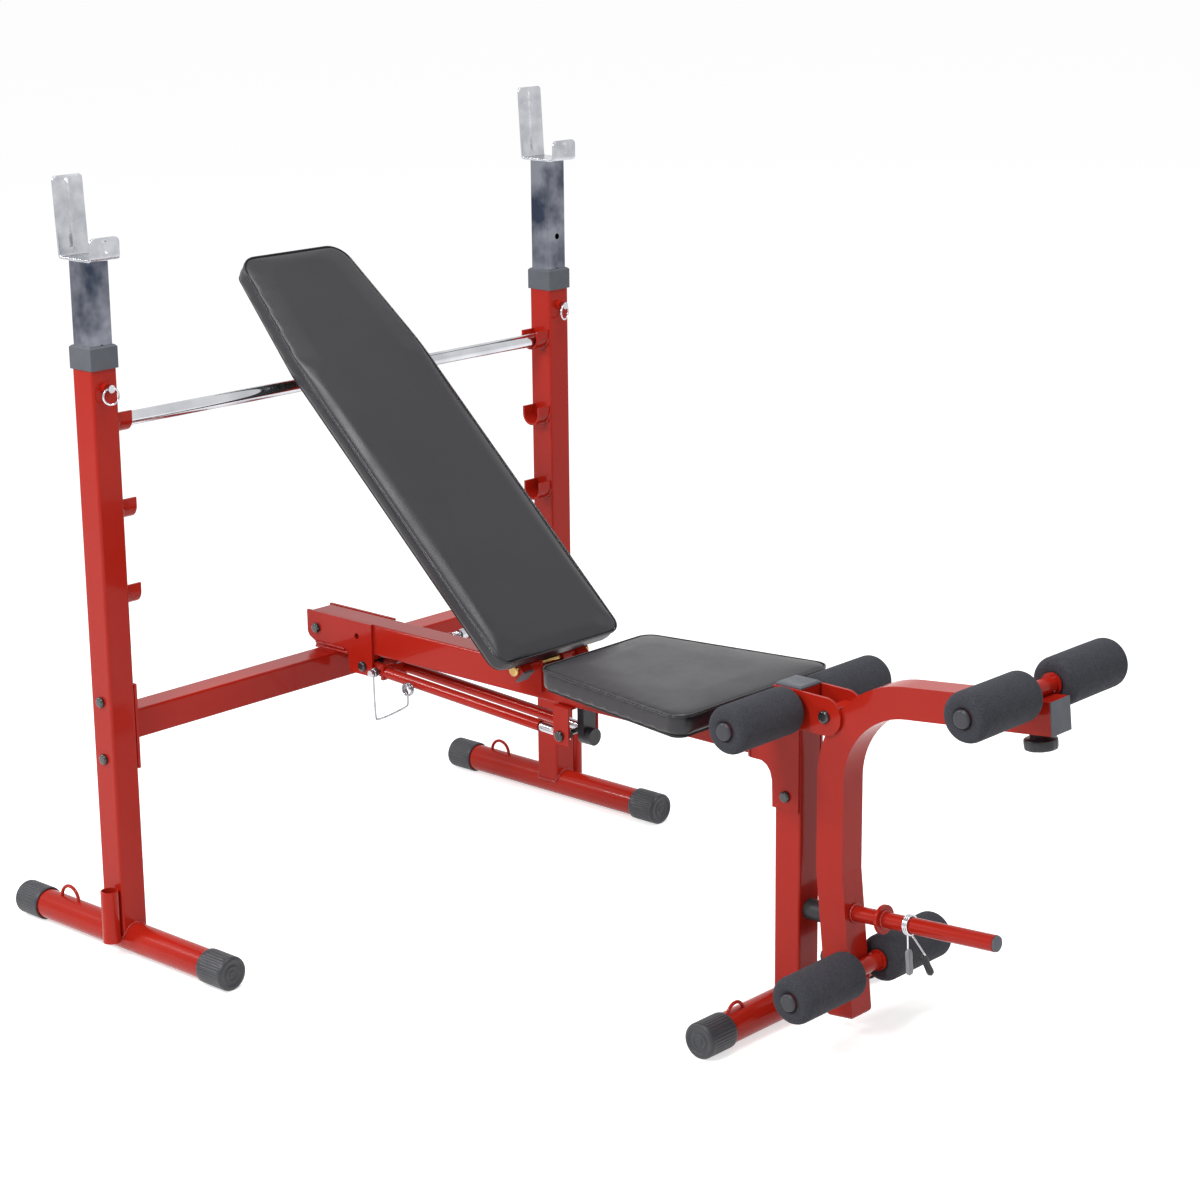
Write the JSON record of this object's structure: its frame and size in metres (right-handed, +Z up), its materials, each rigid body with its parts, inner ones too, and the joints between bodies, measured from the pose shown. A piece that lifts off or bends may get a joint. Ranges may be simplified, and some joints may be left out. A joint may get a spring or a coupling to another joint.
{
  "type": "olympic bench press",
  "caption": "Weight bench with a wide telescoping barbell rack, reclined backrest on a rest bar, tapered seat and a leg developer with foam rollers and a plate post.",
  "frame": {"origin": "centre of the footprint's bounding box, on the floor", "axes": "+Z up, -Y towards the leg developer's end, +Y towards the rack, X across the bench"},
  "size_m": [1.167, 1.7606, 1.3613],
  "materials": {
    "red_paint": "gloss enamel",
    "chrome": "bright",
    "zinc": "satin zinc plate",
    "grey_plastic": "satin",
    "black_plastic": "satin, fine ribs",
    "vinyl": "grained vinyl",
    "foam": "closed-cell foam",
    "board": "plain",
    "black_steel": "black oxide",
    "brass": "yellow passivated",
    "rubber": "matte"
  },
  "bodies": {
    "frame": {"upright_left": "red_paint", "upright_right": "red_paint", "rear_foot_left": "red_paint", "rear_foot_right": "red_paint", "foot_caps": "black_plastic", "post_collars": "grey_plastic", "crossmember": "red_paint", "crossmember_bolts": "black_steel", "rear_bracket": "red_paint", "frame_bolts": "black_steel", "main_rail": "red_paint", "strut_tubes": "red_paint", "strut_rods": "chrome", "strut_stop": "rubber", "plunger_spring": "zinc", "head_bracket": "red_paint", "head_plug": "grey_plastic", "front_leg": "red_paint", "pipe_sockets": "red_paint", "front_foot": "red_paint", "leg_bumper": "rubber", "seat_roller_tube": "red_paint", "seat_roller_caps": "black_plastic", "seat_board": "board", "seat_pad": "vinyl", "seat_screws": "zinc", "back_hinge_bolt": "brass", "pivot_bolt": "black_steel"},
    "post_left": {"post_left": "chrome", "catch_left": "zinc"},
    "post_right": {"post_right": "chrome", "catch_right": "zinc"},
    "lock_pin_left": {"lock_pin_left": "chrome"},
    "lock_pin_right": {"lock_pin_right": "chrome"},
    "rest_bar": {"rest_bar": "chrome", "bar_plugs": "black_plastic"},
    "backrest": {"back_pad": "vinyl", "back_board": "board", "back_tubes": "red_paint", "back_cross_bars": "red_paint", "back_plugs": "grey_plastic", "back_screws": "zinc"},
    "developer": {"developer_arm": "red_paint", "developer_roller_tubes": "red_paint", "developer_roller_caps": "black_plastic", "weight_post": "red_paint", "developer_end_caps": "grey_plastic", "arm_nut": "black_plastic"},
    "foam_seat_left": {"foam_seat_left": "foam"},
    "foam_seat_right": {"foam_seat_right": "foam"},
    "foam_lower_left": {"foam_lower_left": "foam"},
    "foam_lower_right": {"foam_lower_right": "foam"},
    "foam_upper_left": {"foam_upper_left": "foam"},
    "foam_upper_right": {"foam_upper_right": "foam"},
    "clip": {"clip_spring": "zinc", "clip_grips": "grey_plastic"},
    "arm_knob": {"arm_knob": "black_plastic"},
    "wire_pin": {"wire_pin": "zinc", "wire_bail": "zinc"},
    "plunger": {"plunger_pin": "zinc"}
  },
  "joints": [
    {"name": "post_left_slide", "type": "slide", "parent": "frame", "child": "post_left", "axis": [0, 0, 1], "range_m": [-0.0635, 0.1905]},
    {"name": "post_right_slide", "type": "slide", "parent": "frame", "child": "post_right", "axis": [0, 0, 1], "range_m": [-0.127, 0.127]},
    {"name": "lock_pin_left_pull", "type": "slide", "parent": "frame", "child": "lock_pin_left", "axis": [0, -1, 0], "range_m": [0, 0.018], "stiffness_N_per_m": 350, "springref_m": -0.006},
    {"name": "lock_pin_right_pull", "type": "slide", "parent": "frame", "child": "lock_pin_right", "axis": [0, -1, 0], "range_m": [0, 0.018], "stiffness_N_per_m": 350, "springref_m": -0.006},
    {"name": "rest_bar_roll", "type": "hinge", "parent": "frame", "child": "rest_bar", "pos_m": [0, 0.60829, 0.89979], "axis": [1, 0, 0], "continuous": true},
    {"name": "backrest_tilt", "type": "hinge", "parent": "frame", "child": "backrest", "pos_m": [0, 0.12299, 0.4817], "axis": [1, 0, 0], "range_deg": [0, 40]},
    {"name": "developer_swing", "type": "hinge", "parent": "frame", "child": "developer", "pos_m": [0, -0.47771, 0.512], "axis": [-1, 0, 0], "range_deg": [0, 92]},
    {"name": "foam_seat_left_roll", "type": "hinge", "parent": "frame", "child": "foam_seat_left", "pos_m": [-0.111, -0.41171, 0.513], "axis": [1, 0, 0], "continuous": true},
    {"name": "foam_seat_right_roll", "type": "hinge", "parent": "frame", "child": "foam_seat_right", "pos_m": [0.111, -0.41171, 0.513], "axis": [1, 0, 0], "continuous": true},
    {"name": "foam_lower_left_roll", "type": "hinge", "parent": "developer", "child": "foam_lower_left", "pos_m": [-0.111, -0.53746, 0.114], "axis": [1, 0, 0], "continuous": true},
    {"name": "foam_lower_right_roll", "type": "hinge", "parent": "developer", "child": "foam_lower_right", "pos_m": [0.111, -0.53746, 0.114], "axis": [1, 0, 0], "continuous": true},
    {"name": "foam_upper_left_roll", "type": "hinge", "parent": "developer", "child": "foam_upper_left", "pos_m": [-0.111, -0.83771, 0.61988], "axis": [1, 0, 0], "continuous": true},
    {"name": "foam_upper_right_roll", "type": "hinge", "parent": "developer", "child": "foam_upper_right", "pos_m": [0.111, -0.83771, 0.61988], "axis": [1, 0, 0], "continuous": true},
    {"name": "clip_slide", "type": "slide", "parent": "developer", "child": "clip", "axis": [0, -0.9976, 0.0698], "range_m": [-0.03, 0.2]},
    {"name": "arm_knob_turn", "type": "hinge", "parent": "developer", "child": "arm_knob", "pos_m": [0, -0.84071, 0.58355], "axis": [0, -0.1037, -0.9946], "continuous": true},
    {"name": "wire_pin_pull", "type": "slide", "parent": "frame", "child": "wire_pin", "axis": [-1, 0, 0], "range_m": [0, 0.09]},
    {"name": "plunger_pull", "type": "slide", "parent": "frame", "child": "plunger", "axis": [1, 0, 0], "range_m": [0, 0.012], "stiffness_N_per_m": 350, "springref_m": -0.006}
  ]
}
